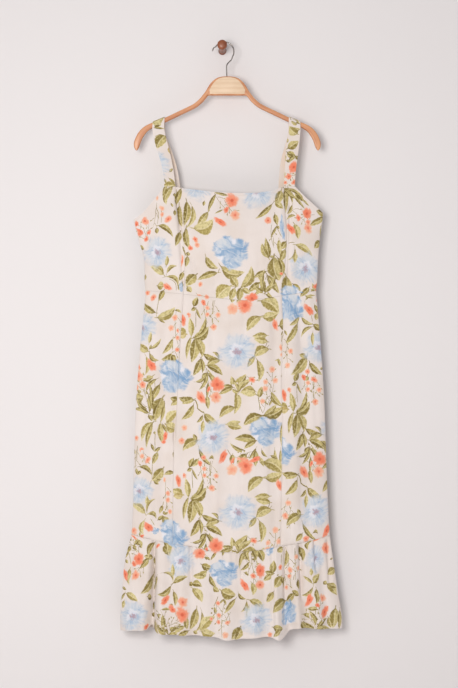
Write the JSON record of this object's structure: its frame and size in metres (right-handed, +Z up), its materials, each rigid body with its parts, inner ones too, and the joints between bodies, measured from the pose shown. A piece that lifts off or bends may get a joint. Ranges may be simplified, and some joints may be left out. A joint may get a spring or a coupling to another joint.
{
  "type": "sundress on a wooden hanger and wall peg",
  "caption": "Floral midi sundress with wide straps and a ruffled hem, hanging from a wooden hanger on a round wall peg.",
  "frame": {"origin": "centre of the wall peg's flat back face, on the wall", "axes": "+Y out of the peg's back face into the wall, +Z up along the dress, -Y the front, +X to the right of someone who looks at the front"},
  "size_m": [0.5029, 0.0904, 1.3444],
  "materials": {
    "cloth": "matte printed chiffon over a plain lining",
    "hanger_wood": "satin",
    "inlay_wood": "matte",
    "hook_wire": "satin",
    "peg_wood": "satin"
  },
  "bodies": {
    "root": {"bodice_front_centre": "cloth", "bodice_front_left": "cloth", "bodice_front_right": "cloth", "bodice_back": "cloth", "skirt_front_centre": "cloth", "skirt_front_left": "cloth", "skirt_front_right": "cloth", "skirt_back": "cloth", "ruffle_front": "cloth", "ruffle_back": "cloth", "strap_left": "cloth", "strap_right": "cloth", "hanger": "hanger_wood", "hanger_inlay": "inlay_wood", "hook": "hook_wire", "wall_peg": "peg_wood"}
  },
  "joints": []
}
